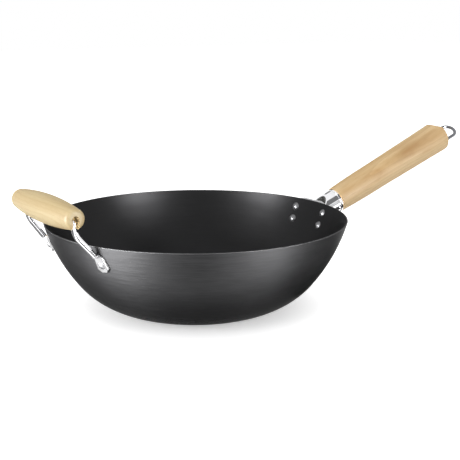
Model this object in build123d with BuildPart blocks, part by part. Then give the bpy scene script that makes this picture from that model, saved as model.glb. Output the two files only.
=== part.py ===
from build123d import *
import os
from math import asin, atan2, cos, degrees, radians, sin, tan

# A carbon steel wok with a long wooden handle and a wooden helper handle.
# Lengths are in millimetres and angles in degrees. The long handle points along +X,
# +Z is up, and the origin is the centre of the flat base, on its underside.

# Bowl. The outside of the wall is a chain of tangent arcs from the base to the rim,
# and a slope is the wall's angle from the vertical where one arc ends.
rim_diameter = 356
wall = 1.5
rim_slope = 16
upper_slope = 39
lower_slope = 78
upper_radius = 200
lower_radius = 99
corner_radius = 60
rim_round_share = 0.27

# Rivets, and the gap between the wall and what they clamp to it
rivet_shank_diameter = 4.8
handle_rivet_head_diameter = 10.4
handle_rivet_head_height = 2.6
helper_rivet_head_diameter = 8.4
helper_rivet_head_height = 2.2
rivet_clearance = 0.1
seat_gap = 0.1

# Mounting plate of the long handle, whose rivets stand in two rows of two
first_row_distance = 12
rivet_row_pitch = 16
rivet_spacing = 53
plate_thickness = 1.6
plate_width = 72
plate_height = 44
plate_rim_lift = 1.6
plate_crown_width = 34
plate_shoulder_drop = 6
plate_corner_radius = 8

# Ferrule: a tube with a bead at the wood, cut back slantwise at the bowl
handle_rise = 21
ferrule_length = 45.2
tube_diameter = 30.5
tube_wall = 1.4
bead_height = 0.75
bead_length = 3.5
bead_round_share = 0.8
mouth_lean = 40
mouth_reach = 4.7

# Long wooden handle. Its swell from the ferrule to the butt is given as shares
# of the length and of the growth in radius.
handle_length = 197.9
butt_diameter = 42.2
swell_shares = ((0.1, 0.19), (0.2, 0.32), (0.4, 0.44), (0.6, 0.62), (0.8, 0.79))
shoulder_step = 0.5
shoulder_gap = 0.3
shoulder_round = 0.8
butt_round = 2.2
bevel_length = 9
bevel_depth = 6.5
tenon_length = 12
tenon_clearance = 0.15
tenon_chamfer = 1

# Nail through the ferrule into the tenon. Its angle is counted from +Y towards the top.
nail_distance = 6.5
nail_angle = -160
nail_shank_diameter = 2.4
nail_head_diameter = 4.6
nail_head_height = 1.2
nail_length = 11
nail_clearance = 0.1

# Hanging loop in the butt
loop_wire_diameter = 4.3
loop_spacing = 21
loop_leg = 19.2
loop_turn = 63.8
loop_drop = 2.7
socket_depth = 20
socket_clearance = 0.1

# Helper grip: a wooden barrel along Y, placed from the rim
grip_length = 143.2
grip_middle_diameter = 31.5
grip_end_diameter = 21.4
grip_end_round = 4.8
grip_reach = 11.6
grip_rise = 32.4
bore_clearance = 0.3
slot_clearance = 0.85

# Helper wire: a crossbar in the grip, two legs and two flattened feet. The grip has slid
# along the crossbar, so the near leg, on the -Y side, stands closer to an end of it.
# A foot's outline is given as shares of its width and of its length on each side of the rivet.
wire_diameter = 6.3
near_leg_inset = 6.1
far_leg_inset = 18.4
leg_drop = 16.7
bore_bend_radius = 7
leg_bend_share = 0.95
foot_distance = 21.7
foot_thickness = 2.2
foot_width = 14.4
foot_rise = 13.4
foot_drop = 8.2
foot_rise_shares = ((0.22, 1), (0.39, 0.72))
foot_drop_shares = ((0.5, 0.49), (0.21, 1))
foot_edge_round = 0.4
rod_end_rise = 11.2
rod_end_gap = 0.15
rod_end_round_share = 0.7

# How far a cut runs past what it cuts
cut_overrun = 5


# Worked out: the wall's arcs, from the rim down to the base
rim_radius = rim_diameter / 2
upper_turn = upper_slope - rim_slope
lower_turn = lower_slope - upper_slope
corner_turn = 90 - lower_slope
upper_fall = upper_radius * (sin(radians(upper_slope)) - sin(radians(rim_slope)))
lower_fall = lower_radius * (sin(radians(lower_slope)) - sin(radians(upper_slope)))
corner_fall = corner_radius * (1 - sin(radians(lower_slope)))
bowl_height = upper_fall + lower_fall + corner_fall
upper_run = upper_radius * (cos(radians(rim_slope)) - cos(radians(upper_slope)))
lower_run = lower_radius * (cos(radians(upper_slope)) - cos(radians(lower_slope)))
corner_run = corner_radius * cos(radians(lower_slope))
base_radius = rim_radius - upper_run - lower_run - corner_run
arc_center_x = rim_radius - upper_radius * cos(radians(rim_slope))
arc_center_z = bowl_height + upper_radius * sin(radians(rim_slope))

# The half plane through the Z axis on the -X side, where the turned seams lie
back_half = Plane(origin=(0, 0, 0), x_dir=(-1, 0, 0), z_dir=(0, 1, 0))


def wall_seat(azimuth, distance, standoff=0):
    """Plane on the upper wall: x level, y up the wall and z straight out of it."""
    slope = radians(rim_slope + degrees(distance / upper_radius))
    around = radians(azimuth)
    radius = arc_center_x + (upper_radius + standoff) * cos(slope)
    height = arc_center_z - (upper_radius + standoff) * sin(slope)
    return Plane(
        origin=(radius * cos(around), radius * sin(around), height),
        x_dir=(-sin(around), cos(around), 0),
        z_dir=(cos(slope) * cos(around), cos(slope) * sin(around), -sin(slope)),
    )


def azimuth_of(offset, distance):
    """Angle around the bowl at which the wall lies this far to the side of the X axis."""
    return degrees(asin(offset / wall_seat(0, distance).origin.X))


def space_within(standoff):
    """Solid that fills the space inside the upper wall's outer face, moved out by standoff."""
    with BuildPart() as space:
        with BuildSketch(back_half):
            with BuildLine():
                face_line = CenterArc(
                    (arc_center_x, arc_center_z), upper_radius + standoff, 0, -upper_slope
                )
                Polyline(
                    face_line @ 0,
                    (0, (face_line @ 0).Y),
                    (0, (face_line @ 1).Y),
                    face_line @ 1,
                )
            make_face()
        revolve(axis=Axis.Z)
    return space.part


def rivet_blank(clamped, head_diameter, head_height):
    """Rivet with its outer head above the XY plane and its inner head under what it clamps."""
    head_radius = head_diameter / 2
    shank_radius = rivet_shank_diameter / 2
    with BuildPart() as blank:
        with BuildSketch(Plane.XZ):
            with BuildLine():
                TangentArc((0, head_height), (head_radius, 0), tangent=(1, 0))
                Polyline(
                    (head_radius, 0),
                    (shank_radius, 0),
                    (shank_radius, -clamped),
                    (head_radius, -clamped),
                )
                TangentArc((0, -clamped - head_height), (head_radius, -clamped), tangent=(1, 0))
                Line((0, -clamped - head_height), (0, head_height))
            make_face()
        revolve(axis=Axis.Z)
    return blank.part


# Rivet places on the wall: the azimuth and the distance down the wall from the rim
root_distance = first_row_distance + rivet_row_pitch / 2
handle_rivet_azimuth = azimuth_of(rivet_spacing / 2, root_distance)
handle_rivet_places = [
    (azimuth, distance)
    for azimuth in (-handle_rivet_azimuth, handle_rivet_azimuth)
    for distance in (first_row_distance, first_row_distance + rivet_row_pitch)
]
near_leg_y = near_leg_inset - grip_length / 2
far_leg_y = grip_length / 2 - far_leg_inset
foot_places = [
    (180 - azimuth_of(leg_y, foot_distance), foot_distance) for leg_y in (near_leg_y, far_leg_y)
]
rivet_hole_radius = rivet_shank_diameter / 2 + rivet_clearance


# Bowl
with BuildPart() as wok_bowl:
    with BuildSketch(back_half):
        with BuildLine():
            outer_base = Line((0, 0), (base_radius, 0))
            outer_corner = JernArc(outer_base @ 1, outer_base % 1, corner_radius, corner_turn)
            outer_lower = JernArc(outer_corner @ 1, outer_corner % 1, lower_radius, lower_turn)
            outer_upper = JernArc(outer_lower @ 1, outer_lower % 1, upper_radius, upper_turn)
            inner_base = Line((0, wall), (base_radius, wall))
            inner_corner = JernArc(inner_base @ 1, inner_base % 1, corner_radius - wall, corner_turn)
            inner_lower = JernArc(inner_corner @ 1, inner_corner % 1, lower_radius - wall, lower_turn)
            inner_upper = JernArc(inner_lower @ 1, inner_lower % 1, upper_radius - wall, upper_turn)
            Line(outer_base @ 0, inner_base @ 0)
            Line(outer_upper @ 1, inner_upper @ 1)
        make_face()
    revolve(axis=Axis.Z)
    rim_edges = wok_bowl.edges().filter_by(GeomType.CIRCLE).group_by(Axis.Z)[-2:]
    fillet([rim_edges[0][0], rim_edges[1][0]], radius=wall * rim_round_share)
    with Locations([wall_seat(*place, cut_overrun) for place in handle_rivet_places + foot_places]):
        Hole(radius=rivet_hole_radius, depth=wall + 2 * cut_overrun)
wok_bowl.part.label = "wok_bowl"


# Mounting plate: curved like the wall, with a rounded outline seen along its own normal.
# Its top rises a little above the rim under the ferrule and drops towards the corners.
plate_back = space_within(seat_gap)
plate_front = space_within(seat_gap + plate_thickness)
plate_seat = wall_seat(0, plate_height / 2 - plate_rim_lift)
plate_top = plate_height / 2

with BuildPart() as handle_plate:
    with BuildSketch(plate_seat):
        with BuildLine():
            Polyline(
                (-plate_width / 2, -plate_top),
                (plate_width / 2, -plate_top),
                (plate_width / 2, plate_top - plate_shoulder_drop),
                (plate_crown_width / 2, plate_top),
                (-plate_crown_width / 2, plate_top),
                (-plate_width / 2, plate_top - plate_shoulder_drop),
                close=True,
            )
        plate_outline = make_face()
        fillet(plate_outline.vertices(), radius=plate_corner_radius)
    extrude(amount=plate_height / 2, both=True)
    add(plate_front, mode=Mode.INTERSECT)
    add(plate_back, mode=Mode.SUBTRACT)
    with Locations([wall_seat(*place, cut_overrun) for place in handle_rivet_places]):
        Hole(radius=rivet_hole_radius, depth=2 * cut_overrun)
handle_plate.part.label = "handle_plate"


# The long handle's axis runs from the plate's outer face up to the joint with the wood
handle_root = wall_seat(0, root_distance, seat_gap + plate_thickness).origin
handle_direction = Vector(cos(radians(handle_rise)), 0, sin(radians(handle_rise)))
handle_top = Vector(-sin(radians(handle_rise)), 0, cos(radians(handle_rise)))
handle_joint = handle_root + handle_direction * ferrule_length
handle_axis = Axis(handle_joint, handle_direction)

# Half plane under the axis in which the handle's turned pieces are drawn:
# x runs along the axis from the joint, y is the distance from the axis
under_axis = Plane(origin=handle_joint, x_dir=handle_direction, z_dir=(0, 1, 0))

# Plane of the nail: z points out of the ferrule along the nail
nail_out = Vector(0, 1, 0) * cos(radians(nail_angle)) + handle_top * sin(radians(nail_angle))
nail_seat = Plane(
    origin=handle_joint - handle_direction * nail_distance + nail_out * (tube_diameter / 2),
    x_dir=handle_direction,
    z_dir=nail_out,
)
nail_hole_radius = nail_shank_diameter / 2 + nail_clearance


# Ferrule
tube_radius = tube_diameter / 2
bead_radius = tube_radius + bead_height
tube_start = ferrule_length + tube_diameter + tube_radius
mouth_plane = Plane(
    origin=handle_root + handle_direction * mouth_reach,
    x_dir=(0, 1, 0),
    z_dir=(cos(radians(mouth_lean)), 0, -sin(radians(mouth_lean))),
)

with BuildPart() as handle_ferrule:
    with BuildSketch(under_axis):
        with BuildLine():
            Polyline(
                (-tube_start, tube_radius - tube_wall),
                (-tube_start, tube_radius),
                (-bead_length, tube_radius),
                (-bead_length, bead_radius),
                (0, bead_radius),
                (0, tube_radius - tube_wall),
                close=True,
            )
        ferrule_section = make_face()
        bead_corners = ferrule_section.vertices().group_by(Axis.Y)[-1]
        fillet(bead_corners, radius=bead_height * bead_round_share)
    revolve(axis=handle_axis)
    add(plate_front, mode=Mode.SUBTRACT)
    split(bisect_by=mouth_plane, keep=Keep.TOP)
    with Locations(nail_seat.offset(cut_overrun)):
        Hole(radius=nail_hole_radius, depth=cut_overrun + tube_radius)
handle_ferrule.part.label = "handle_ferrule"


# Rivets of the long handle
handle_rivet_grip = plate_thickness + seat_gap + wall + seat_gap
handle_rivet = rivet_blank(handle_rivet_grip, handle_rivet_head_diameter, handle_rivet_head_height)
handle_rivet_standoff = seat_gap + plate_thickness

with BuildPart() as handle_rivets:
    with Locations([wall_seat(*place, handle_rivet_standoff) for place in handle_rivet_places]):
        add(handle_rivet)
handle_rivets.part.label = "handle_rivets"


# Wooden handle: a tenon in the ferrule, a long swell, a bevelled and rounded butt
tenon_radius = tube_radius - tube_wall - tenon_clearance
shoulder_radius = bead_radius + shoulder_step
butt_radius = butt_diameter / 2
swell = butt_radius - shoulder_radius
wood_length = handle_length - shoulder_gap
swell_points = [
    (shoulder_gap + wood_length * along, shoulder_radius + swell * out) for along, out in swell_shares
]
bevel_plane = Plane(
    origin=handle_joint + handle_direction * handle_length + handle_top * (butt_radius - bevel_depth),
    x_dir=(0, 1, 0),
    z_dir=handle_direction * bevel_depth + handle_top * bevel_length,
)

# Sockets for the hanging loop, one each side of a point a little below the axis
loop_across = handle_top * cos(radians(loop_turn)) + Vector(0, 1, 0) * sin(radians(loop_turn))
loop_center = handle_joint + handle_direction * handle_length - handle_top * loop_drop
butt_face = Plane(origin=loop_center, x_dir=loop_across, z_dir=handle_direction)

with BuildPart() as wooden_handle:
    with BuildSketch(under_axis):
        with BuildLine():
            Polyline(
                (handle_length, butt_radius),
                (handle_length, 0),
                (-tenon_length, 0),
                (-tenon_length, tenon_radius - tenon_chamfer),
                (tenon_chamfer - tenon_length, tenon_radius),
                (shoulder_gap, tenon_radius),
                (shoulder_gap, shoulder_radius),
            )
            Spline((shoulder_gap, shoulder_radius), *swell_points, (handle_length, butt_radius))
        make_face()
    revolve(axis=handle_axis)
    turned_edges = wooden_handle.edges().filter_by(GeomType.CIRCLE).sort_by(SortBy.RADIUS)
    fillet(turned_edges[-2], radius=shoulder_round)
    split(bisect_by=bevel_plane, keep=Keep.BOTTOM)
    butt_end = wooden_handle.faces().filter_by(GeomType.PLANE).sort_by(handle_axis)[-1]
    fillet(butt_end.edges(), radius=butt_round)
    with Locations(butt_face):
        with Locations((-loop_spacing / 2, 0), (loop_spacing / 2, 0)):
            Hole(radius=loop_wire_diameter / 2 + socket_clearance, depth=socket_depth + socket_clearance)
    with Locations(nail_seat.offset(cut_overrun)):
        Hole(radius=nail_hole_radius, depth=cut_overrun + nail_length + nail_clearance)
wooden_handle.part.label = "wooden_handle"


# Nail
nail_section = Plane(origin=nail_seat.origin, x_dir=nail_seat.x_dir, z_dir=-nail_seat.y_dir)
nail_radius = nail_shank_diameter / 2
nail_head_radius = nail_head_diameter / 2

with BuildPart() as handle_nail:
    with BuildSketch(nail_section):
        with BuildLine():
            TangentArc((0, nail_head_height), (nail_head_radius, 0), tangent=(1, 0))
            Polyline(
                (nail_head_radius, 0),
                (nail_radius, 0),
                (nail_radius, nail_shank_diameter - nail_length),
                (0, -nail_length),
                (0, nail_head_height),
            )
        make_face()
    revolve(axis=Axis(nail_seat.origin, nail_seat.z_dir))
handle_nail.part.label = "handle_nail"


# Hanging loop
loop_plane = Plane(origin=loop_center, x_dir=loop_across, z_dir=loop_across.cross(handle_direction))

with BuildPart() as hanging_loop:
    with BuildLine(loop_plane) as loop_path:
        first_leg = Line((-loop_spacing / 2, -socket_depth), (-loop_spacing / 2, loop_leg))
        loop_bend = JernArc(first_leg @ 1, first_leg % 1, loop_spacing / 2, -180)
        Line(loop_bend @ 1, (loop_spacing / 2, -socket_depth))
    with BuildSketch(Plane(origin=first_leg @ 0, z_dir=first_leg % 0)):
        Circle(loop_wire_diameter / 2)
    sweep()
hanging_loop.part.label = "hanging_loop"


# Helper wire. Each leg lies in a level plane across the bowl, and its foot lies flat
# against the wall at its rivet with its long side in that same plane.
wire_radius = wire_diameter / 2
grip_center = Vector(-rim_radius - grip_reach, 0, bowl_height + grip_rise)
leg_corner_z = grip_center.Z - leg_drop
foot_half = [(foot_width * across, foot_rise * along) for across, along in foot_rise_shares]
foot_half += [(foot_width * across, -foot_drop * along) for across, along in foot_drop_shares]
near_seat, far_seat = [wall_seat(*place) for place in foot_places]


def up_the_wall(seat):
    """Direction up the wall from a foot, in the level plane of its leg."""
    return Vector(0, 1, 0).cross(seat.z_dir).normalized()


def rod_end(seat):
    """Centre of the end of the round rod, which lies on the foot."""
    leg_out = up_the_wall(seat).cross(Vector(0, 1, 0))
    return seat.origin + up_the_wall(seat) * rod_end_rise + leg_out * (wire_radius + rod_end_gap)


def leg_bend_radius(seat):
    """Radius of the bend at which a leg turns towards its foot."""
    lean = atan2(rod_end(seat).X - grip_center.X, leg_corner_z - rod_end(seat).Z)
    return (leg_drop - bore_bend_radius) * leg_bend_share / tan(lean / 2)


def flattened_foot(seat):
    """Flat end of the wire, with a hole for its rivet."""
    foot_plane = Plane(
        origin=seat.origin + seat.z_dir * seat_gap,
        x_dir=up_the_wall(seat).cross(seat.z_dir),
        z_dir=seat.z_dir,
    )
    with BuildPart() as foot:
        with BuildSketch(foot_plane):
            with BuildLine():
                Polyline(*foot_half, *[(-x, y) for x, y in reversed(foot_half)], close=True)
            make_face()
        extrude(amount=foot_thickness)
        foot_normal = Axis(foot_plane.origin, foot_plane.z_dir)
        front_face = foot.faces().filter_by(foot_plane).sort_by(foot_normal)[-1]
        fillet(front_face.edges(), radius=foot_edge_round)
        with Locations(foot_plane.offset(cut_overrun)):
            Hole(radius=rivet_hole_radius, depth=2 * cut_overrun)
    return foot.part


with BuildPart() as helper_wire:
    with BuildLine() as wire_path:
        FilletPolyline(
            rod_end(far_seat),
            (grip_center.X, far_leg_y, leg_corner_z),
            (grip_center.X, far_leg_y, grip_center.Z),
            (grip_center.X, near_leg_y, grip_center.Z),
            (grip_center.X, near_leg_y, leg_corner_z),
            rod_end(near_seat),
            radius=[
                leg_bend_radius(far_seat),
                bore_bend_radius,
                bore_bend_radius,
                leg_bend_radius(near_seat),
            ],
        )
    with BuildSketch(Plane(origin=wire_path.wire() @ 0, z_dir=wire_path.wire() % 0)):
        Circle(wire_radius)
    sweep()
    rod_ends = helper_wire.edges().filter_by(GeomType.CIRCLE).sort_by(Axis.Z)[:2]
    fillet(rod_ends, radius=wire_radius * rod_end_round_share)
    add(flattened_foot(near_seat))
    add(flattened_foot(far_seat))
helper_wire.part.label = "helper_wire"


# Helper rivets
helper_rivet_grip = foot_thickness + seat_gap + wall + seat_gap
helper_rivet = rivet_blank(helper_rivet_grip, helper_rivet_head_diameter, helper_rivet_head_height)

with BuildPart() as helper_rivets:
    with Locations([wall_seat(*place, seat_gap + foot_thickness) for place in foot_places]):
        add(helper_rivet)
helper_rivets.part.label = "helper_rivets"


# Helper grip: a barrel with a bore for the crossbar and a keyhole slot at each end,
# which gives the bends room and keeps the grip from turning on the wire. Both slots are
# as long as the far leg needs.
grip_half = grip_length / 2
slot_radius = wire_radius + slot_clearance
slot_start = far_leg_y - bore_bend_radius - slot_clearance
grip_axis = Axis(grip_center, (0, 1, 0))
under_grip = Plane(origin=grip_center, x_dir=(0, 1, 0), z_dir=(-1, 0, 0))

with BuildPart() as helper_grip:
    with BuildSketch(under_grip):
        with BuildLine():
            barrel_line = ThreePointArc(
                (-grip_half, grip_end_diameter / 2),
                (0, grip_middle_diameter / 2),
                (grip_half, grip_end_diameter / 2),
            )
            Polyline(barrel_line @ 1, (grip_half, 0), (-grip_half, 0), barrel_line @ 0)
        make_face()
    revolve(axis=grip_axis)
    end_edges = helper_grip.edges().filter_by(GeomType.CIRCLE).sort_by(Axis.Y)
    fillet([end_edges[0], end_edges[-1]], radius=grip_end_round)
    with Locations(Plane(origin=grip_center, z_dir=(0, 1, 0)).offset(grip_half + cut_overrun)):
        Hole(radius=wire_radius + bore_clearance, depth=grip_length + 2 * cut_overrun)
    for side in (-1, 1):
        slot_origin = grip_center + Vector(0, side * slot_start, 0)
        with BuildSketch(Plane(origin=slot_origin, x_dir=(-side, 0, 0), z_dir=(0, side, 0))):
            Circle(slot_radius)
            Rectangle(2 * slot_radius, grip_middle_diameter, align=(Align.CENTER, Align.MAX))
        extrude(amount=grip_half - slot_start + cut_overrun, mode=Mode.SUBTRACT)
helper_grip.part.label = "helper_grip"


print(f"Bowl: {bowl_height:.1f} high, flat base {2 * base_radius:.1f} across")
print(f"Leg bends: near {leg_bend_radius(near_seat):.1f}, far {leg_bend_radius(far_seat):.1f}")

os.makedirs("parts", exist_ok=True)
pieces = (
    wok_bowl,
    handle_plate,
    handle_ferrule,
    handle_rivets,
    wooden_handle,
    handle_nail,
    hanging_loop,
    helper_wire,
    helper_rivets,
    helper_grip,
)
for piece in pieces:
    export_step(piece.part, f"parts/{piece.part.label}.step")
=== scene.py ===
# %% [markdown]
# # A carbon steel wok in Blender
#
# The wok stands on a white table. Its solid shapes come from a CAD model: a thin pressed bowl,
# a long wooden handle in a chromed ferrule, and a wooden helper grip on a bent chromed wire.
# The shapes could be modelled again in Blender, but then the two models would drift apart.
# So this lesson loads the solids and only dresses them. Each finish is a network of shader
# nodes, so it has no picture files and stays sharp at any distance.

# %% Load the solid shapes
import math

import bpy
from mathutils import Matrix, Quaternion, Vector


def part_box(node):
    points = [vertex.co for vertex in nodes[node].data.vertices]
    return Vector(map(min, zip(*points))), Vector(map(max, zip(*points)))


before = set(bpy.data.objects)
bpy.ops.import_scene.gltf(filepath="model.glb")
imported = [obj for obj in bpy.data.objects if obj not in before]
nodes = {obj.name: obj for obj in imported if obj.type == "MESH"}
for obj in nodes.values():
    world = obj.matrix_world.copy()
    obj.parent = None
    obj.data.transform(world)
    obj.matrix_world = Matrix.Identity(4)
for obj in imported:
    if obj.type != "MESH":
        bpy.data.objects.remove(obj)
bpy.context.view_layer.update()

print("Pieces of the wok:", ", ".join(sorted(nodes)))

# %% [markdown]
# ## The camera
#
# The wok is seen from in front and a little above, with the long handle going away to the
# right. A camera far off with a long lens keeps the bowl's ellipse calm, the way product
# photographs do. The place was worked out from the ellipses of the rim and the base, so it
# is typed in metres. Three angles or a tracking constraint could aim the camera. A direction
# is used here, because it needs no second object and is easy to compare with the place.

# %% Camera
CAMERA_PLACE = Vector((-0.6061, -0.9477, 0.3459))
CAMERA_DIRECTION = Vector((0.5542, 0.8025, -0.22115))
CAMERA_LENS = 76.1
SENSOR_WIDTH = 36
NEAREST_SEEN = 0.01

camera_data = bpy.data.cameras.new("camera")
camera_data.lens = CAMERA_LENS
camera_data.sensor_width = SENSOR_WIDTH
camera_data.clip_start = NEAREST_SEEN
camera = bpy.data.objects.new("camera", camera_data)
camera.location = CAMERA_PLACE
camera.rotation_mode = "QUATERNION"
camera.rotation_quaternion = CAMERA_DIRECTION.to_track_quat("-Z", "Y")
bpy.context.scene.collection.objects.link(camera)
bpy.context.scene.camera = camera
print("Camera distance from the wok:", round(CAMERA_PLACE.length, 3), "m")

# %% [markdown]
# ## Small helpers for node networks
#
# A shader network is easier to read as sums and mixes than as dozens of lines that add and
# link nodes. `add_node` makes one node, sets its options and fills its inputs. An input can
# be a plain value or the output of another node, and `fill` does the right thing for both.

# %% Nodes and links
def fill(tree, socket, value):
    """Links the output of a node to a socket, or writes a plain value into it."""
    if isinstance(value, bpy.types.NodeSocket):
        tree.links.new(value, socket)
    else:
        socket.default_value = value


def add_node(tree, kind, inputs=(), **options):
    """Adds a shader node, sets its options and fills its inputs, by name or by number."""
    node = tree.nodes.new("ShaderNode" + kind)
    for option, value in options.items():
        setattr(node, option, value)
    for key, value in dict(inputs).items():
        fill(tree, node.inputs[key], value)
    return node


# %% Sums and mixes
def calculate(tree, operation, *values):
    """One step of arithmetic on numbers or on the outputs of other nodes."""
    return add_node(tree, "Math", enumerate(values), operation=operation).outputs[0]


def add_shares(tree, first, first_share, second, second_share):
    """Adds two values, each times its share."""
    return calculate(tree, "ADD", calculate(tree, "MULTIPLY", first, first_share),
                     calculate(tree, "MULTIPLY", second, second_share))


def distance_from(tree, first, second):
    """The distance from an axis, out of the two sides of a right angle."""
    squares = calculate(tree, "ADD", calculate(tree, "MULTIPLY", first, first),
                        calculate(tree, "MULTIPLY", second, second))
    return calculate(tree, "SQRT", squares)


def between(tree, value, start, end, low=0.0, high=1.0):
    """Turns a value that runs from start to end into one that runs from low to high."""
    inputs = {"Value": value, "From Min": start, "From Max": end, "To Min": low, "To Max": high}
    return add_node(tree, "MapRange", inputs, interpolation_type="SMOOTHSTEP").outputs[0]


def blend_colors(tree, amount, first, second, how="MIX"):
    """Mixes two colours. Sockets 0, 6 and 7 of the node are its amount and its two colours."""
    node = add_node(tree, "Mix", data_type="RGBA", blend_type=how)
    for key, value in ((0, amount), (6, first), (7, second)):
        fill(tree, node.inputs[key], value)
    return node.outputs[2]


# %% [markdown]
# Colours are read off a screen, from 0 to 255, but a shader counts light. `color` turns one
# into the other. Patterns are noise: soft random clouds that are read at a place, so
# stretching the place stretches the clouds. Noise runs from 0 to 1, but most of it lies
# between 0.3 and 0.7, so `spread` reads that part.

# %% Colours and patterns
NOISE_LOW, NOISE_HIGH = 0.3, 0.7


def color(red, green, blue):
    """A colour as it is read off a screen, from 0 to 255, turned into linear light."""
    def linear(channel):
        share = channel / 255
        return share / 12.92 if share <= 0.04045 else ((share + 0.055) / 1.055) ** 2.4
    return (linear(red), linear(green), linear(blue), 1.0)


def noise(tree, place, scale, detail=2.0, distortion=0.0):
    """Soft random clouds, read at a place. A bigger scale gives smaller clouds."""
    inputs = {"Vector": place, "Scale": scale, "Detail": detail, "Distortion": distortion}
    return add_node(tree, "TexNoise", inputs).outputs["Fac"]


def spread(tree, pattern, low, high):
    """Turns noise into a value that runs from low to high."""
    return between(tree, pattern, NOISE_LOW, NOISE_HIGH, low, high)


def stretched(tree, place, x, y, z):
    """Multiplies each axis of a place, which stretches the pattern that is read there."""
    return add_node(tree, "VectorMath", {0: place, 1: (x, y, z)}, operation="MULTIPLY").outputs[0]


def shaded(tree, tone, shade):
    """A colour made lighter or darker by a number."""
    grey = add_node(tree, "CombineXYZ", {0: shade, 1: shade, 2: shade}).outputs[0]
    return blend_colors(tree, 1.0, tone, grey, "MULTIPLY")


print("Half grey on a screen is this much light:", round(color(128, 128, 128)[0], 3))

# %% [markdown]
# Every finish starts with the same material: one main shader, and the place on the piece in
# metres. Patterns are read at that place, so no piece needs to be unwrapped.

# %% Materials
def start_material(name):
    """A new node material. Gives it, its tree, its main shader and the place on the piece."""
    material = bpy.data.materials.new(name)
    material.use_nodes = True
    tree = material.node_tree
    place = add_node(tree, "TexCoord").outputs["Object"]
    return material, tree, tree.nodes["Principled BSDF"], place


def set_shader(tree, shader, **inputs):
    """Fills the sockets of the main shader. Underscores in a name stand for spaces."""
    for key, value in inputs.items():
        fill(tree, shader.inputs[key.replace("_", " ")], value)


def add_bump(tree, shader, height, distance, strength=1.0):
    """Lets light read a height pattern as small hills, without moving the mesh."""
    bump = add_node(tree, "Bump", {"Height": height, "Distance": distance, "Strength": strength})
    fill(tree, shader.inputs["Normal"], bump.outputs[0])


def dress(material, *names):
    """Gives a material to whole pieces."""
    for name in names:
        nodes[name].data.materials.clear()
        nodes[name].data.materials.append(material)
    print(material.name, "is on", ", ".join(names))


# %% [markdown]
# ## Brushed carbon steel
#
# The bowl is bare steel, dark as charcoal. It was brushed while it turned, so hair-fine
# marks run round it. Light bounces off such marks in a fan across them, and that makes the
# tall soft bands on the outside. The shader's anisotropy does the fan, and a tangent that
# runs round the Z axis says which way the marks go.
#
# The marks could be painted on a picture, but that has seams and blurs when it is seen from
# near. Here they are noise, read at a place that changes slowly round the bowl and quickly
# down the wall. The sum of height and radius grows all the way from the middle of the base
# to the rim, so one pattern serves the wall and the flat base.

# %% Brush marks
SMALLEST_RADIUS = 0.001


def brush_marks(tree, place, around, down):
    """Noise drawn out into lines round the Z axis: lumps a radian and lines a metre."""
    x, y, z = add_node(tree, "SeparateXYZ", {0: place}).outputs
    radius = calculate(tree, "MAXIMUM", distance_from(tree, x, y), SMALLEST_RADIUS)
    along_wall = calculate(tree, "ADD", z, radius)
    turn = add_node(tree, "CombineXYZ", {
        0: calculate(tree, "MULTIPLY", calculate(tree, "DIVIDE", x, radius), around),
        1: calculate(tree, "MULTIPLY", calculate(tree, "DIVIDE", y, radius), around),
        2: calculate(tree, "MULTIPLY", along_wall, down),
    }).outputs[0]
    return noise(tree, turn, 1.0, detail=3.0)


# %% [markdown]
# Coarse and fine marks lie over each other. They move the tone, the roughness and the bump together,
# as real scratches do. Near the base the outside is much smoother, and a little darker; that darkening
# is painted shade, for the shaded table that the lower wall mirrors. Both fades run with the height,
# from the base up to the two heights named here.

# %% Steel of the bowl
COARSE_AROUND, COARSE_DOWN, COARSE_SHARE = 4.0, 900.0, 0.45
FINE_AROUND, FINE_DOWN, FINE_SHARE = 11.0, 2300.0, 0.55
CLOUD_SCALE = 14.0
PAINTED_SHADE_TOP = 0.09
ROUGH_FADE_TOP = 0.105
STEEL_METAL_SHARE = 0.7
STEEL_EDGE_TINT = (0.45, 0.45, 0.45, 1.0)
QUARTER_TURN = 0.25
MARK_STRENGTH = 0.6


def make_bowl_steel(name, tone, rough, anisotropy, contrast, bump, base_shade_share=1.0, base_rough=1.0):
    """Charcoal steel with brush marks. base_shade_share is the share of the tone left at the base, a
    painted shade, and base_rough the share of the roughness left there.
    """
    material, tree, shader, place = start_material(name)
    height = add_node(tree, "SeparateXYZ", {0: place}).outputs[2]
    marks = add_shares(tree, brush_marks(tree, place, COARSE_AROUND, COARSE_DOWN), COARSE_SHARE,
                       brush_marks(tree, place, FINE_AROUND, FINE_DOWN), FINE_SHARE)
    clouds = noise(tree, place, CLOUD_SCALE, detail=3.0)
    shade = spread(tree, marks, 1.0 - contrast, 1.0 + contrast)
    shade = calculate(tree, "MULTIPLY", shade, spread(tree, clouds, 0.93, 1.07))
    # The darker tone towards the base is painted shade, not a change in the steel.
    painted_base_shade = between(tree, height, 0.0, PAINTED_SHADE_TOP, base_shade_share, 1.0)
    shade = calculate(tree, "MULTIPLY", shade, painted_base_shade)
    rough_fade = between(tree, height, 0.0, ROUGH_FADE_TOP, base_rough, 1.0)
    tangent = add_node(tree, "Tangent", direction_type="RADIAL", axis="Z").outputs[0]
    set_shader(tree, shader, Base_Color=shaded(tree, tone, shade), Metallic=STEEL_METAL_SHARE,
               Roughness=calculate(tree, "MULTIPLY", spread(tree, marks, *rough), rough_fade),
               Anisotropic=anisotropy, Anisotropic_Rotation=QUARTER_TURN, Tangent=tangent,
               Specular_Tint=STEEL_EDGE_TINT)
    add_bump(tree, shader, marks, bump, MARK_STRENGTH)
    return material


# %% [markdown]
# Three finishes meet on the bowl: brushed outside, darker and smoother inside, and a lighter rim. The
# rim is partly worn bright and partly painted lighter, a painted highlight along the lip. One material
# could mix all three by height and direction, but three small networks are easier to read. A face
# shows its side by its direction: on the outside
# it points away from the middle of the bowl, on the inside towards it. So each face of the
# bowl picks its own material slot, and the mesh itself stays as it is.

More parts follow.
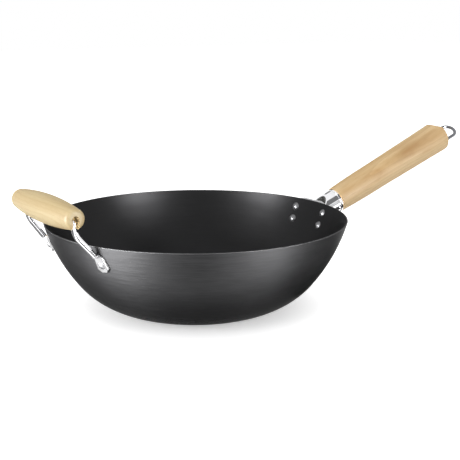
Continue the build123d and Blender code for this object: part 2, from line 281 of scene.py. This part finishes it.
# %% Sides of the bowl
RIM_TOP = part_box("wok_bowl")[1].z
RIM_BAND = 0.0011
BOWL_MIDDLE = Vector((0.0, 0.0, 0.1))
OUTSIDE, INSIDE, RIM = 0, 1, 2


def side_of_bowl(face):
    """The number of the finish that a face of the bowl gets."""
    if face.center.z > RIM_TOP - RIM_BAND:
        return RIM
    return OUTSIDE if face.normal.dot(face.center - BOWL_MIDDLE) > 0 else INSIDE


def dress_bowl(bowl, *materials):
    """Gives the bowl its finishes outside, inside and on the rim, face by face."""
    bowl.data.materials.clear()
    for material in materials:
        bowl.data.materials.append(material)
    counts = [0, 0, 0]
    for face in bowl.data.polygons:
        face.material_index = side_of_bowl(face)
        counts[face.material_index] += 1
    print("Faces outside, inside and on the rim:", counts)


# %% Finishes of the bowl
brushed_outside = make_bowl_steel("brushed_outside", color(55, 55, 56), rough=(0.48, 0.56),
                                  anisotropy=0.7, contrast=0.19, bump=0.00002,
                                  base_shade_share=0.84, base_rough=0.5)
smooth_inside = make_bowl_steel("smooth_inside", color(35, 35, 36), rough=(0.34, 0.41),
                                anisotropy=0.4, contrast=0.08, bump=0.00001)
# The lighter rim tone is partly wear and partly a painted highlight.
worn_and_highlit_rim = make_bowl_steel("worn_and_highlit_rim", color(72, 72, 73), rough=(0.42, 0.5),
                           anisotropy=0.0, contrast=0.2, bump=0.00001)
dress_bowl(nodes["wok_bowl"], brushed_outside, smooth_inside, worn_and_highlit_rim)

# %% [markdown]
# ## Chrome and steel fittings
#
# Ferrule, loop and nail are chromed: nearly a mirror, so what matters is what they reflect.
# A flat grey could stand for chrome in a small picture, but it would not change as the camera moves. A
# trace of noise in the roughness keeps the polish from looking computed. The loop and the nail get a
# darker chrome tone, a painted shade for the dark reflections they show, because thin bright pieces
# would vanish in the white room. Rivet heads and the mounting plate are plain steel with a satin
# tumbled surface.

# %% Metal
CHROME_TONE = color(246, 246, 248)
PAINTED_SHADE_CHROME_TONE = color(126, 127, 131)
RIVET_TONE = color(122, 122, 124)
FOOT_RIVET_TONE = color(176, 176, 178)
PLATE_TONE = color(188, 188, 190)
POLISHED_GRAIN = 0.000002
SATIN_GRAIN = 0.00001


def make_metal(name, tone, rough, grain, metal=1.0):
    """A plain metal whose polish changes a little from place to place."""
    material, tree, shader, place = start_material(name)
    clouds = noise(tree, place, 60.0, detail=4.0)
    set_shader(tree, shader, Base_Color=shaded(tree, tone, spread(tree, clouds, 0.93, 1.0)),
               Metallic=metal, Roughness=spread(tree, clouds, *rough))
    add_bump(tree, shader, noise(tree, place, 900.0), grain)
    return material


# %% Dress the fittings
dress(make_metal("chrome", CHROME_TONE, (0.05, 0.1), POLISHED_GRAIN), "handle_ferrule")
# The loop and the nail: chrome with a darker tone, which is painted shade.
dress(make_metal("chrome_with_painted_shade", PAINTED_SHADE_CHROME_TONE, (0.1, 0.16), POLISHED_GRAIN),
      "hanging_loop", "handle_nail")
dress(make_metal("rivet_steel", RIVET_TONE, (0.4, 0.46), SATIN_GRAIN), "handle_rivets")
dress(make_metal("foot_rivet_steel", FOOT_RIVET_TONE, (0.3, 0.4), SATIN_GRAIN, metal=0.6),
      "helper_rivets")
dress(make_metal("plate_steel", PLATE_TONE, (0.25, 0.36), SATIN_GRAIN), "handle_plate")

# %% [markdown]
# The polish of the ferrule stops at its mouth. Inside, the tube is plain dull steel. Its pale, nearly
# matt tone there is painted light, which lifts the shade inside the tube. The ferrule is one piece of
# tube, so it isn't cut in two for that: a face that looks towards the handle's axis gets a second
# material slot.

# %% Inside of the ferrule
HANDLE_RISE = math.radians(21)
HANDLE_ROOT = Vector((0.1731, 0.0, 0.087))
HANDLE_ALONG = Vector((math.cos(HANDLE_RISE), 0.0, math.sin(HANDLE_RISE)))
PAINTED_LIGHT_SOCKET_TONE = color(226, 227, 225)


def repaint(piece, material, is_chosen):
    """Gives some faces of a piece that is dressed already a second material."""
    piece.data.materials.append(material)
    repainted = [face for face in piece.data.polygons if is_chosen(face)]
    for face in repainted:
        face.material_index = 1
    print(material.name, "is on", len(repainted), "faces of", piece.name)


def looks_at_axis(face):
    """Whether a face looks towards the axis of the long handle."""
    from_root = face.center - HANDLE_ROOT
    outward = from_root - HANDLE_ALONG * from_root.dot(HANDLE_ALONG)
    return face.normal.dot(outward) < 0


# The pale inside of the tube is painted light over its shade.
dull_socket_with_painted_light = make_metal("dull_socket_with_painted_light", PAINTED_LIGHT_SOCKET_TONE, (0.55, 0.65), SATIN_GRAIN, metal=0.1)
repaint(nodes["handle_ferrule"], dull_socket_with_painted_light, looks_at_axis)

# %% [markdown]
# ## Helper wire
#
# The wire under the helper grip is one drawn and bent rod, chromed all over. Its two ends
# were pressed flat into feet, and the pressed steel is duller than the rod. Two materials
# would meet in a hard line. So one material changes from satin to chrome by height, over a
# few millimetres just above the feet.

# %% Chrome and satin on the wire
FOOT_TOP = 0.0945
FOOT_FADE = 0.003
FOOT_TONE = color(219, 219, 220)
FOOT_METAL_SHARE = 0.45
FOOT_GRAIN = 0.00002


def make_wire_chrome():
    """Chrome on the drawn rod, satin on the pressed feet."""
    material, tree, shader, place = start_material("wire_chrome")
    height = add_node(tree, "SeparateXYZ", {0: place}).outputs[2]
    foot = between(tree, height, FOOT_TOP, FOOT_TOP + FOOT_FADE, 1.0, 0.0)
    clouds = noise(tree, place, 80.0, detail=4.0)
    shine = spread(tree, clouds, 0.05, 0.09)
    satin = spread(tree, clouds, 0.3, 0.42)
    set_shader(tree, shader, Base_Color=blend_colors(tree, foot, CHROME_TONE, FOOT_TONE),
               Roughness=add_node(tree, "Mix", {0: foot, 2: shine, 3: satin}).outputs[0],
               Metallic=between(tree, foot, 0.0, 1.0, 1.0, FOOT_METAL_SHARE))
    grains = noise(tree, place, 700.0)
    add_bump(tree, shader, calculate(tree, "MULTIPLY", grains, foot), FOOT_GRAIN)
    return material


dress(make_wire_chrome(), "helper_wire")

# %% [markdown]
# ## Wood
#
# Both grips are turned from a pale, close-grained hardwood and have a thin clear coat. A
# picture wrapped round them would show a seam and stretch at the ends. So the pattern is
# solid, as in a real log: rings round a pith that lies outside the piece, drawn out along
# the grain. Where the tool cuts across the grain, at the ends, the same pattern shows end
# grain by itself. Every pattern here is read in the wood's own axes, with X along the grain.

# %% Rings
RINGS_A_METRE = 230.0
RING_SWAY = 3.0
RING_SHARPNESS = 3.0


def along_grain(tree, local, lengthwise, crosswise, scale=1.0, detail=2.0, distortion=0.0):
    """Noise with lumps a metre along the grain and across it."""
    place = stretched(tree, local, lengthwise, crosswise, crosswise)
    return noise(tree, place, scale, detail, distortion)


def late_wood_at(tree, local, pith):
    """Rings round the pith: each grows slowly darker and ends in a sharp line."""
    parts = add_node(tree, "SeparateXYZ", {0: local}).outputs
    from_pith = distance_from(tree, calculate(tree, "SUBTRACT", parts[1], pith[0]),
                              calculate(tree, "SUBTRACT", parts[2], pith[1]))
    sway = along_grain(tree, local, 6.0, 30.0)
    rings = add_shares(tree, from_pith, RINGS_A_METRE, sway, RING_SWAY)
    return calculate(tree, "POWER", calculate(tree, "FRACT", rings), RING_SHARPNESS)


# %% [markdown]
# Over the rings lie broad changes of tone, warm patches, hair-fine fibres and a few short
# flecks. Each line below lays one more of them over the colour so far.

# %% Colour of the wood
def wood_tone(tree, local, late_wood, fibres, light, middle, dark, warm):
    """The colour of the wood at a place, out of four tones."""
    broad = along_grain(tree, local, 5.0, 70.0)
    patches = along_grain(tree, local, 14.0, 45.0, detail=3.0, distortion=0.4)
    flecks = along_grain(tree, local, 330.0, 2600.0, detail=1.0)
    tone = blend_colors(tree, between(tree, broad, 0.36, 0.64), light, middle)
    tone = blend_colors(tree, between(tree, patches, 0.55, 0.8, 0.0, 0.7), tone, warm)
    tone = blend_colors(tree, calculate(tree, "MULTIPLY", late_wood, 0.22), tone, dark)
    tone = blend_colors(tree, between(tree, fibres, 0.45, 0.8, 0.0, 0.22), tone, dark)
    return blend_colors(tree, between(tree, flecks, 0.68, 0.78, 0.0, 0.35), tone, dark)


# %% [markdown]
# The long handle has one dark streak in its far half, as hardwood sometimes does. It could
# be one more random patch, but then its place would be left to chance. So it is a soft ball
# round a chosen place, drawn out along the grain, and its edge is frayed by noise.

# %% Dark streak
STREAK_MIDDLE = (0.187, -0.017, 0.0135)
STREAK_SHRINK = (20.0, 50.0, 120.0)
STREAK_DEPTH = 0.62


def streak_at(tree, local, middle):
    """How strongly the dark streak shows at a place."""
    offset = add_node(tree, "VectorMath", {0: local, 1: middle}, operation="SUBTRACT").outputs[0]
    ball = stretched(tree, offset, *STREAK_SHRINK)
    reach = add_node(tree, "VectorMath", {0: ball}, operation="LENGTH").outputs["Value"]
    ripple = along_grain(tree, local, 40.0, 160.0, scale=0.8)
    return between(tree, calculate(tree, "ADD", reach, ripple), 0.5, 1.9, STREAK_DEPTH, 0.0)


# %% Wood
FIBRE_SHARE, RING_SHARE = 0.6, 0.4
GRAIN_DEPTH = 0.00006
GRAIN_STRENGTH = 0.8


def make_wood(name, origin, turn, pith, tones, streak=None):
    """Hardwood with its grain along local X. pith is the middle of the log in Y and Z."""
    material, tree, shader, place = start_material(name)
    moved = add_node(tree, "VectorMath", {0: place, 1: origin}, operation="SUBTRACT").outputs[0]
    inputs = {"Vector": moved, "Rotation": turn}
    local = add_node(tree, "Mapping", inputs, vector_type="POINT").outputs[0]
    late_wood = late_wood_at(tree, local, pith)
    fibres = along_grain(tree, local, 60.0, 1800.0)
    tone = wood_tone(tree, local, late_wood, fibres, **tones)
    if streak:
        tone = blend_colors(tree, streak_at(tree, local, streak), tone, tones["dark"])
    set_shader(tree, shader, Base_Color=tone, Roughness=spread(tree, fibres, 0.5, 0.6),
               Specular_IOR_Level=0.18, Coat_Weight=0.02, Coat_Roughness=0.4)
    hills = add_shares(tree, fibres, FIBRE_SHARE, late_wood, RING_SHARE)
    add_bump(tree, shader, hills, GRAIN_DEPTH, GRAIN_STRENGTH)
    return material


# %% [markdown]
# The long handle is warmer and browner than the helper grip, so the two get their own tones.
# The grain of each runs along the piece: the handle's rises with the handle, and the grip's
# runs crosswise to it.

# %% Two woods
GRIP_MIDDLE = (-0.1896, 0.0, 0.139)
TAN_TONES = {"light": color(236, 206, 158), "middle": color(226, 191, 138),
             "dark": color(178, 131, 78), "warm": color(206, 158, 100)}
CREAM_TONES = {"light": color(221, 201, 155), "middle": color(213, 189, 141),
               "dark": color(184, 150, 101), "warm": color(204, 173, 124)}

tan_wood = make_wood("tan_wood", HANDLE_ROOT, (0.0, HANDLE_RISE, 0.0), (0.045, -0.07),
                     TAN_TONES, streak=STREAK_MIDDLE)
cream_wood = make_wood("cream_wood", GRIP_MIDDLE, (0.0, 0.0, -math.pi / 2), (0.05, -0.06),
                       CREAM_TONES)
dress(tan_wood, "wooden_handle")
dress(cream_wood, "helper_grip")

# %% [markdown]
# The tenon of the handle ends inside the ferrule, and the slanted mouth of the ferrule lets it be
# seen. Its cut end is painted a matt grey, a painted shade for the shade deep in the mouth. It could
# be a thin disc of its own, but it is wood of the same piece. So its faces are found by their place:
# no others lie so near the bowl, measured along the handle.

# %% End of the tenon
TENON_SHADE_TONE = color(128, 127, 124)
TENON_END_DEPTH = 0.001
handle_faces = nodes["wooden_handle"].data.polygons
tenon_end = min(face.center.dot(HANDLE_ALONG) for face in handle_faces) + TENON_END_DEPTH


def is_tenon_end(face):
    """Whether a face lies at the root end of the wooden handle."""
    return face.center.dot(HANDLE_ALONG) < tenon_end


# The grey of the tenon's end is painted shade.
grey_painted_shade_end = make_metal("grey_painted_shade_end", TENON_SHADE_TONE, (0.7, 0.8), SATIN_GRAIN, metal=0.0)
repaint(nodes["wooden_handle"], grey_painted_shade_end, is_tenon_end)

# %% [markdown]
# ## Table and background
#
# The wok stands on a plain white table that fades into white. A white floor alone would come out pale
# grey, and brighter lamps would wash out the wok. So the table gives off a little light of its own,
# which only the camera, reflections and glass can see. The shadow still falls on it. Near the wok the
# glow is weaker, and that paints a darker contact shadow round its foot; far from the wok the glow
# takes over. Seen from below the table is clear, so that the underside of the wok can be looked at.

# %% Flat sheets and bare materials
def flat_sheet(name, width, depth):
    """A flat rectangle round its own middle, linked to the scene."""
    x, y = width / 2, depth / 2
    mesh = bpy.data.meshes.new(name)
    mesh.from_pydata([(-x, -y, 0), (x, -y, 0), (x, y, 0), (-x, y, 0)], [], [(0, 1, 2, 3)])
    sheet = bpy.data.objects.new(name, mesh)
    bpy.context.scene.collection.objects.link(sheet)
    return sheet


def start_bare_material(name):
    """A node material without its main shader. Gives it, its tree and its surface socket."""
    material = bpy.data.materials.new(name)
    material.use_nodes = True
    tree = material.node_tree
    tree.nodes.remove(tree.nodes["Principled BSDF"])
    return material, tree, tree.nodes["Material Output"].inputs["Surface"]


def seen_rays(tree):
    """One for a ray from the camera, a reflection or glass, and nought for scattered light."""
    path = add_node(tree, "LightPath").outputs
    seen = calculate(tree, "MAXIMUM", path["Is Camera Ray"], path["Is Glossy Ray"])
    return calculate(tree, "MAXIMUM", seen, path["Is Transmission Ray"])


# %% Table
TABLE_SIZE = 14.0
TABLE_DROP = 0.0001
TABLE_TONE = (0.86, 0.86, 0.86, 1.0)
SHADOW_PAINTED_GLOW, FAR_GLOW = 0.41, 1.0
GLOW_START, GLOW_END = 0.07, 0.22


def make_table():
    """A white sheet a hair below the wok, and its material."""
    table = flat_sheet("table", TABLE_SIZE, TABLE_SIZE)
    table.location.z = -TABLE_DROP
    material, tree, surface = start_bare_material("white_table")
    paper = add_node(tree, "BsdfDiffuse", {"Color": TABLE_TONE}).outputs[0]
    place = add_node(tree, "TexCoord").outputs["Object"]
    distance = add_node(tree, "VectorMath", {0: place}, operation="LENGTH").outputs["Value"]
    # The weaker glow near the middle is a painted contact shadow.
    glow = between(tree, distance, GLOW_START, GLOW_END, SHADOW_PAINTED_GLOW, FAR_GLOW)
    glow = calculate(tree, "MULTIPLY", seen_rays(tree), glow)
    glow = add_node(tree, "Emission", {"Strength": glow}).outputs[0]
    lit = add_node(tree, "AddShader", {0: paper, 1: glow}).outputs[0]
    clear = add_node(tree, "BsdfTransparent").outputs[0]
    behind = add_node(tree, "NewGeometry").outputs["Backfacing"]
    fill(tree, surface, add_node(tree, "MixShader", {0: behind, 1: lit, 2: clear}).outputs[0])
    table.data.materials.append(material)
    print("The table is", TABLE_SIZE, "m wide and glows fully", GLOW_END, "m from the middle")


make_table()

# %% [markdown]
# ## Light
#
# The world gives even light from all round, and looks white to the camera and in
# reflections. Three soft boxes add shape: one on each side of the camera and one overhead.
# They light the wood and the table at a plain level, and reflections don't show them. A
# picture of a real studio could do all of this at once, but this lesson uses no pictures.

# %% World
WORLD_FILL = 0.42

world = bpy.data.worlds.new("white_room")
world.use_nodes = True
bpy.context.scene.world = world
background = world.node_tree.nodes["Background"]
background.inputs["Color"].default_value = (1.0, 1.0, 1.0, 1.0)
level = between(world.node_tree, seen_rays(world.node_tree), 0.0, 1.0, WORLD_FILL, 1.0)
fill(world.node_tree, background.inputs["Strength"], level)
print("Level of the even light:", WORLD_FILL)

# %% Places and directions
BOWL_FRONT = (0.0, 0.0, 0.07)


def around_camera(turn, rise, distance):
    """A place round the bowl: turn degrees to the right of the camera, rise degrees up."""
    angle = math.atan2(CAMERA_PLACE.y, CAMERA_PLACE.x) + math.radians(turn)
    flat, up = distance * math.cos(math.radians(rise)), distance * math.sin(math.radians(rise))
    return (flat * math.cos(angle), flat * math.sin(angle), up)


def turn_to(thing, target):
    """Turns a lamp or a card so that its front looks at a target."""
    thing.rotation_mode = "QUATERNION"
    thing.rotation_quaternion = (Vector(target) - thing.location).to_track_quat("-Z", "Y")


# %% Soft boxes
def soft_box(name, place, width, height, power, diffuse=True, glossy=True):
    """A rectangular lamp that faces the bowl and that the camera can't see."""
    data = bpy.data.lights.new(name, "AREA")
    data.shape = "RECTANGLE"
    data.size = width
    data.size_y = height
    data.energy = power
    lamp = bpy.data.objects.new(name, data)
    lamp.location = place
    turn_to(lamp, BOWL_FRONT)
    lamp.visible_camera = False
    lamp.visible_diffuse = diffuse
    lamp.visible_glossy = glossy
    bpy.context.scene.collection.objects.link(lamp)
    print(name, "has", power, "W on", width, "by", height, "m")


soft_box("left_box", around_camera(-50, 16, 1.6), 0.9, 0.9, power=13, glossy=False)
soft_box("right_box", around_camera(42, 18, 1.7), 0.9, 0.9, power=7, glossy=False)
soft_box("top_box", (-0.1, 0.1, 2.0), 1.8, 1.8, power=6, glossy=False)

# %% [markdown]
# Metal shows its room more than its own colour. So two strips shine on polished and brushed
# metal alone, and draw the two bright bands on the bowl. The steel is dark and rough, and
# its wall leans away from them, so it shows only the faint edge of their reflection. That
# is why they are so strong, about 150 and 80 times as bright as the white room. Weaker strips would be
# closer to a real studio, but the bands would be fainter.

# %% Strips
soft_box("left_strip", around_camera(-57, 6, 1.3), 0.72, 0.45, power=150, diffuse=False)
soft_box("right_strip", around_camera(50, 8, 1.4), 0.72, 0.5, power=88, diffuse=False)

# %% [markdown]
# Chrome in an all white room would look white. So four grey cards stand where a studio is
# dark: one behind the camera, a high one and a low one on the right, and one high behind the
# wok. They are seen only in reflections and cast no shadow. They glow in their own tone, so
# no lamp changes them, and they give the chrome its grey and dark stripes.

# %% Cards round the wok
def grey_card(name, place, width, height, tone, target=BOWL_FRONT, spin=0.0):
    """A flat card of one tone that only reflections can see, spun in its own plane."""
    card = flat_sheet(name, width, height)
    card.location = place
    turn_to(card, target)
    card.rotation_quaternion @= Quaternion((0.0, 0.0, 1.0), spin)
    material, tree, surface = start_bare_material(name + "_tone")
    fill(tree, surface, add_node(tree, "Emission", {"Color": (tone, tone, tone, 1.0)}).outputs[0])
    card.data.materials.append(material)
    for ray in ("camera", "diffuse", "shadow", "transmission"):
        setattr(card, "visible_" + ray, False)
    print(name, "has a tone of", tone)


grey_card("camera_card", around_camera(-3, 12, 1.5), 0.4, 0.8, tone=0.55)
grey_card("right_card", around_camera(62, 44, 1.5), 0.9, 0.94, tone=0.19)
grey_card("side_card", around_camera(70, 4, 1.5), 0.9, 1.0, tone=0.58)
grey_card("back_card", around_camera(-175, 34, 1.5), 1.3, 0.6, tone=0.2)

# %% [markdown]
# The bowl leans out over the table, so its outside mirrors mostly the table right below it, where the
# table lies in the bowl's shade. Two cards lie there side by side across the view, and two more lie in
# front of them, one on each side. They are painted shade: dark sheets that stand for that shade in
# reflections, and they darken the foot of the bowl. A narrow and nearly black card lies in the middle
# in front, with its long side about towards the camera. It is painted shade too, and the rods of the
# helper wire mirror it as a dark line. The camera stands 32.6 degrees to the left of the wok's front,
# and the cards are placed and turned as it sees them.

# %% Cards on the table
CAMERA_BEARING = math.radians(32.6)
CARD_HEIGHT = 0.0005
LINE_TURN = math.radians(-14.2)


def table_shade_card(name, across, toward, width, depth, tone, spin=0.0):
    """A dark card on the table that stands for the shade there, a painted shade: across metres to the
    right and toward metres nearer to the camera.
    """
    sine, cosine = math.sin(CAMERA_BEARING), math.cos(CAMERA_BEARING)
    x, y = across * cosine - toward * sine, -across * sine - toward * cosine
    grey_card(name, (x, y, CARD_HEIGHT), width, depth, tone, target=(x, y, 1.0),
              spin=CAMERA_BEARING + spin)


# Dark cards as painted shade of the table under and in front of the wok.
table_shade_card("under_left_card", -0.16, 0.0, 0.58, 0.34, tone=0.24)
table_shade_card("under_right_card", 0.29, 0.0, 0.32, 0.34, tone=0.06)
table_shade_card("front_right_card", 0.32, 0.29, 0.44, 0.24, tone=0.05)
table_shade_card("front_left_card", -0.35, 0.31, 0.3, 0.26, tone=0.16)
table_shade_card("line_card", 0.007, 0.363, 0.12, 0.26, tone=0.03, spin=LINE_TURN)

# %% [markdown]
# ## Finish
#
# The picture uses the standard view transform.

# %% Finish
scene = bpy.context.scene
scene.view_settings.view_transform = "Standard"
